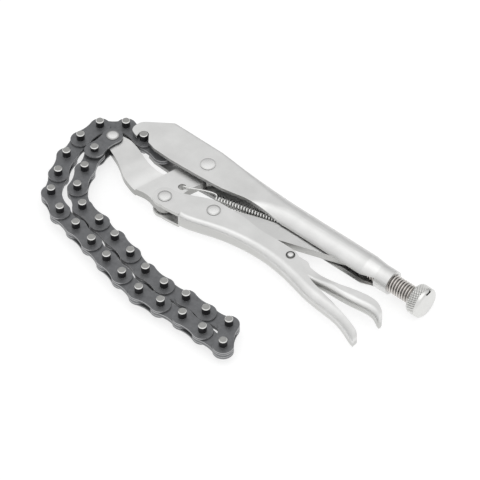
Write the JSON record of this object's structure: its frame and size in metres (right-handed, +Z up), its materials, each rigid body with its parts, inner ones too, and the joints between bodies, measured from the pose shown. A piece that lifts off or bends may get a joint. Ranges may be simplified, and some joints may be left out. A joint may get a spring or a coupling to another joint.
{
  "type": "chain clamp",
  "caption": "Locking chain clamp: toggle pliers with a hooked fixed jaw, a roller-style chain wrapped back into the hook, a release lever and a screw.",
  "frame": {"origin": "under the middle of the bounding box, on the surface that the tool lies on", "axes": "+X from the chain end of the tool to its adjusting screw, +Y from the chain and lever side to the fixed body's spine, +Z up out of the flat side that faces up"},
  "size_m": [0.2468, 0.1192, 0.019],
  "materials": {
    "plated_sheet": "satin plating",
    "plated_forging": "satin plating",
    "rivet_steel": "polished",
    "chain_steel": "dark phosphate",
    "spring_steel": "bright wire",
    "screw_steel": "zinc plated"
  },
  "bodies": {
    "fixed_body_group": {"fixed_body": "plated_sheet", "main_pivot_rivet": "rivet_steel", "jaw_spring": "spring_steel"},
    "jaw": {"lower_jaw": "plated_forging"},
    "lever": {"lever_handle": "plated_sheet", "jaw_rivet": "rivet_steel", "toggle_rivet": "rivet_steel", "release_pin": "rivet_steel"},
    "toggle": {"toggle_link": "plated_sheet"},
    "release": {"release_lever": "plated_sheet"},
    "screw": {"adjusting_screw": "screw_steel"},
    "knob": {"screw_knob": "screw_steel"},
    "chain_01": {"link_01": "chain_steel", "chain_rivet": "rivet_steel"},
    "chain_02": {"link_02": "chain_steel"},
    "chain_03": {"link_03": "chain_steel"},
    "chain_04": {"link_04": "chain_steel"},
    "chain_05": {"link_05": "chain_steel"},
    "chain_06": {"link_06": "chain_steel"},
    "chain_07": {"link_07": "chain_steel"},
    "chain_08": {"link_08": "chain_steel"},
    "chain_09": {"link_09": "chain_steel"},
    "chain_10": {"link_10": "chain_steel"},
    "chain_11": {"link_11": "chain_steel"},
    "chain_12": {"link_12": "chain_steel"},
    "chain_13": {"link_13": "chain_steel"},
    "chain_14": {"link_14": "chain_steel"},
    "chain_15": {"link_15": "chain_steel"},
    "chain_16": {"link_16": "chain_steel"},
    "chain_17": {"link_17": "chain_steel"},
    "chain_18": {"link_18": "chain_steel"},
    "chain_19": {"link_19": "chain_steel"},
    "chain_20": {"link_20": "chain_steel"},
    "chain_21": {"link_21": "chain_steel"},
    "chain_22": {"link_22": "chain_steel"},
    "chain_23": {"link_23": "chain_steel"},
    "chain_24": {"link_24": "chain_steel"},
    "chain_25": {"link_25": "chain_steel"},
    "chain_26": {"link_26": "chain_steel"},
    "chain_27": {"link_27": "chain_steel"},
    "chain_28": {"link_28": "chain_steel"},
    "chain_29": {"link_29": "chain_steel"},
    "chain_30": {"link_30": "chain_steel"}
  },
  "joints": [
    {"name": "lever_swing", "type": "hinge", "parent": "jaw", "child": "lever", "pos_m": [-0.04455, 0.00976, 0.0095], "axis": [0, 0, 1], "range_deg": [-22, 0]},
    {"name": "jaw_swing", "type": "hinge", "parent": "fixed_body_group", "child": "jaw", "pos_m": [-0.04195, 0.04557, 0.0095], "axis": [0, 0, 1], "range_deg": [0, 3.65], "deforming": ["jaw_spring"]},
    {"name": "toggle_swing", "type": "hinge", "parent": "lever", "child": "toggle", "pos_m": [-0.01505, 0.02016, 0.0095], "axis": [0, 0, 1], "range_deg": [0, 25.25]},
    {"name": "release_press", "type": "hinge", "parent": "lever", "child": "release", "pos_m": [0.04235, 0.02277, 0.0095], "axis": [0, 0, 1], "range_deg": [-8, 0]},
    {"name": "screw_travel", "type": "slide", "parent": "fixed_body_group", "child": "screw", "axis": [1, 0, 0], "range_m": [-0.00095, 0.0073]},
    {"name": "knob_turn", "type": "hinge", "parent": "screw", "child": "knob", "pos_m": [0.11805, 0.04897, 0.0095], "axis": [1, 0, 0], "range_deg": [-189, 1449.5]},
    {"name": "chain_turn_00", "type": "hinge", "parent": "jaw", "child": "chain_01", "pos_m": [-0.10325, 0.02766, 0.0095], "axis": [0.0066, -0.0091, 0.9999], "range_deg": [-10, 0]},
    {"name": "chain_turn_01", "type": "hinge", "parent": "chain_01", "child": "chain_02", "pos_m": [-0.10352, 0.0118, 0.00936], "axis": [0.0066, -0.0091, 0.9999], "range_deg": [-10, 12]},
    {"name": "chain_turn_02", "type": "hinge", "parent": "chain_02", "child": "chain_03", "pos_m": [-0.09783, -0.00302, 0.00918], "axis": [0.0066, -0.0091, 0.9999], "range_deg": [-12.99, 10.84]},
    {"name": "chain_turn_03", "type": "hinge", "parent": "chain_03", "child": "chain_04", "pos_m": [-0.09062, -0.01717, 0.00901], "axis": [0.0066, -0.0091, 0.9999], "range_deg": [0, 3.84]},
    {"name": "chain_turn_04", "type": "hinge", "parent": "chain_04", "child": "chain_05", "pos_m": [-0.07778, -0.02649, 0.00884], "axis": [0.0066, -0.0091, 0.9999], "range_deg": [0, 10]},
    {"name": "chain_turn_05", "type": "hinge", "parent": "chain_05", "child": "chain_06", "pos_m": [-0.06205, -0.0287, 0.00871], "axis": [0.0066, -0.0091, 0.9999], "range_deg": [-9.29, 0]},
    {"name": "chain_turn_06", "type": "hinge", "parent": "chain_06", "child": "chain_07", "pos_m": [-0.04653, -0.032, 0.00858], "axis": [0.0066, -0.0091, 0.9999], "range_deg": [0, 10]},
    {"name": "chain_turn_07", "type": "hinge", "parent": "chain_07", "child": "chain_08", "pos_m": [-0.03103, -0.03543, 0.00845], "axis": [0.0066, -0.0091, 0.9999], "range_deg": [-9.94, 0]},
    {"name": "chain_turn_08", "type": "hinge", "parent": "chain_08", "child": "chain_09", "pos_m": [-0.01562, -0.03927, 0.00831], "axis": [0.0066, -0.0091, 0.9999], "range_deg": [0, 10]},
    {"name": "chain_turn_09", "type": "hinge", "parent": "chain_09", "child": "chain_10", "pos_m": [0.00019, -0.04065, 0.00819], "axis": [0.0066, -0.0091, 0.9999], "range_deg": [-12.11, 0]},
    {"name": "chain_turn_10", "type": "hinge", "parent": "chain_10", "child": "chain_11", "pos_m": [0.01601, -0.03926, 0.0081], "axis": [0.0066, -0.0091, 0.9999], "range_deg": [0, 12]},
    {"name": "chain_turn_11", "type": "hinge", "parent": "chain_11", "child": "chain_12", "pos_m": [0.03187, -0.03981, 0.00799], "axis": [0.0066, -0.0091, 0.9999], "range_deg": [-12.05, 0]},
    {"name": "chain_turn_12", "type": "hinge", "parent": "chain_12", "child": "chain_13", "pos_m": [0.04763, -0.03787, 0.00791], "axis": [0.0066, -0.0091, 0.9999], "range_deg": [-8, 0]},
    {"name": "chain_turn_13", "type": "hinge", "parent": "chain_13", "child": "chain_14", "pos_m": [0.05533, -0.05175, 0.00773], "axis": [0.0066, -0.0091, 0.9999], "range_deg": [0, 8.25]},
    {"name": "chain_turn_14", "type": "hinge", "parent": "chain_14", "child": "chain_15", "pos_m": [0.03946, -0.05148, 0.00783], "axis": [0.0066, -0.0091, 0.9999], "range_deg": [0, 12.04]},
    {"name": "chain_turn_15", "type": "hinge", "parent": "chain_15", "child": "chain_16", "pos_m": [0.02359, -0.05093, 0.00795], "axis": [0.0066, -0.0091, 0.9999], "range_deg": [-12.04, 0]},
    {"name": "chain_turn_16", "type": "hinge", "parent": "chain_16", "child": "chain_17", "pos_m": [0.00776, -0.05218, 0.00804], "axis": [0.0066, -0.0091, 0.9999], "range_deg": [0, 11.11]},
    {"name": "chain_turn_17", "type": "hinge", "parent": "chain_17", "child": "chain_18", "pos_m": [-0.00807, -0.05329, 0.00813], "axis": [0.0066, -0.0091, 0.9999], "range_deg": [-9.05, 0]},
    {"name": "chain_turn_18", "type": "hinge", "parent": "chain_18", "child": "chain_19", "pos_m": [-0.02373, -0.05068, 0.00826], "axis": [0.0066, -0.0091, 0.9999], "range_deg": [0, 10.01]},
    {"name": "chain_turn_19", "type": "hinge", "parent": "chain_19", "child": "chain_20", "pos_m": [-0.0392, -0.04711, 0.00839], "axis": [0.0066, -0.0091, 0.9999], "range_deg": [-10.12, 0]},
    {"name": "chain_turn_20", "type": "hinge", "parent": "chain_20", "child": "chain_21", "pos_m": [-0.05464, -0.04341, 0.00853], "axis": [0.0066, -0.0091, 0.9999], "range_deg": [0, 9.77]},
    {"name": "chain_turn_21", "type": "hinge", "parent": "chain_21", "child": "chain_22", "pos_m": [-0.07019, -0.04024, 0.00866], "axis": [0.0066, -0.0091, 0.9999], "range_deg": [-10.53, 0]},
    {"name": "chain_turn_22", "type": "hinge", "parent": "chain_22", "child": "chain_23", "pos_m": [-0.0858, -0.03736, 0.00879], "axis": [0.0066, -0.0091, 0.9999], "range_deg": [-9.14, 0]},
    {"name": "chain_turn_23", "type": "hinge", "parent": "chain_23", "child": "chain_24", "pos_m": [-0.09989, -0.03003, 0.00895], "axis": [0.0066, -0.0091, 0.9999], "range_deg": [0, 5.14]},
    {"name": "chain_turn_24", "type": "hinge", "parent": "chain_24", "child": "chain_25", "pos_m": [-0.10734, -0.01601, 0.00913], "axis": [0.0066, -0.0091, 0.9999], "range_deg": [-10.43, 12.51]},
    {"name": "chain_turn_25", "type": "hinge", "parent": "chain_25", "child": "chain_26", "pos_m": [-0.11405, -0.00163, 0.0093], "axis": [0.0066, -0.0091, 0.9999], "range_deg": [-11.56, 9.65]},
    {"name": "chain_turn_26", "type": "hinge", "parent": "chain_26", "child": "chain_27", "pos_m": [-0.11709, 0.01396, 0.00947], "axis": [0.0066, -0.0091, 0.9999], "range_deg": [0, 8.81]},
    {"name": "chain_turn_27", "type": "hinge", "parent": "chain_27", "child": "chain_28", "pos_m": [-0.11571, 0.02976, 0.0096], "axis": [0.0066, -0.0091, 0.9999], "range_deg": [-10.16, 0]},
    {"name": "chain_turn_28", "type": "hinge", "parent": "chain_28", "child": "chain_29", "pos_m": [-0.10367, 0.04011, 0.00962], "axis": [0.0066, -0.0091, 0.9999], "range_deg": [0, 11.4]},
    {"name": "chain_turn_29", "type": "hinge", "parent": "chain_29", "child": "chain_30", "pos_m": [-0.08785, 0.03877, 0.0095], "axis": [0.0066, -0.0091, 0.9999], "range_deg": [-12, 20]}
  ],
  "couplings": [
    {"joint": "jaw_swing", "follows": "lever_swing", "ratio": -0.16551},
    {"joint": "toggle_swing", "follows": "lever_swing", "ratio": -1.1468},
    {"joint": "knob_turn", "follows": "screw_travel", "rad_per_m": 3463.7},
    {"joint": "chain_turn_26", "follows": "chain_turn_00", "ratio": -0.87605},
    {"joint": "chain_turn_27", "follows": "chain_turn_00", "ratio": 1.0113},
    {"joint": "chain_turn_28", "follows": "chain_turn_00", "ratio": -1.1353},
    {"joint": "chain_turn_02", "follows": "chain_turn_01", "ratio": -1.0787},
    {"joint": "chain_turn_24", "follows": "chain_turn_01", "ratio": 1.0382},
    {"joint": "chain_turn_25", "follows": "chain_turn_01", "ratio": -0.95951},
    {"joint": "chain_turn_05", "follows": "chain_turn_04", "ratio": -0.92449},
    {"joint": "chain_turn_20", "follows": "chain_turn_04", "ratio": 0.97205},
    {"joint": "chain_turn_21", "follows": "chain_turn_04", "ratio": -1.0476},
    {"joint": "chain_turn_07", "follows": "chain_turn_06", "ratio": -0.98917},
    {"joint": "chain_turn_18", "follows": "chain_turn_06", "ratio": 0.99622},
    {"joint": "chain_turn_19", "follows": "chain_turn_06", "ratio": -1.0071},
    {"joint": "chain_turn_09", "follows": "chain_turn_08", "ratio": -1.2063},
    {"joint": "chain_turn_16", "follows": "chain_turn_08", "ratio": 1.1064},
    {"joint": "chain_turn_17", "follows": "chain_turn_08", "ratio": -0.90007},
    {"joint": "chain_turn_11", "follows": "chain_turn_10", "ratio": -1},
    {"joint": "chain_turn_14", "follows": "chain_turn_10", "ratio": 0.99939},
    {"joint": "chain_turn_15", "follows": "chain_turn_10", "ratio": -0.99935},
    {"joint": "chain_turn_03", "follows": "chain_turn_12", "ratio": -0.47425},
    {"joint": "chain_turn_13", "follows": "chain_turn_12", "ratio": -1.0252},
    {"joint": "chain_turn_22", "follows": "chain_turn_12", "ratio": 1.1362},
    {"joint": "chain_turn_23", "follows": "chain_turn_12", "ratio": -0.63678}
  ]
}
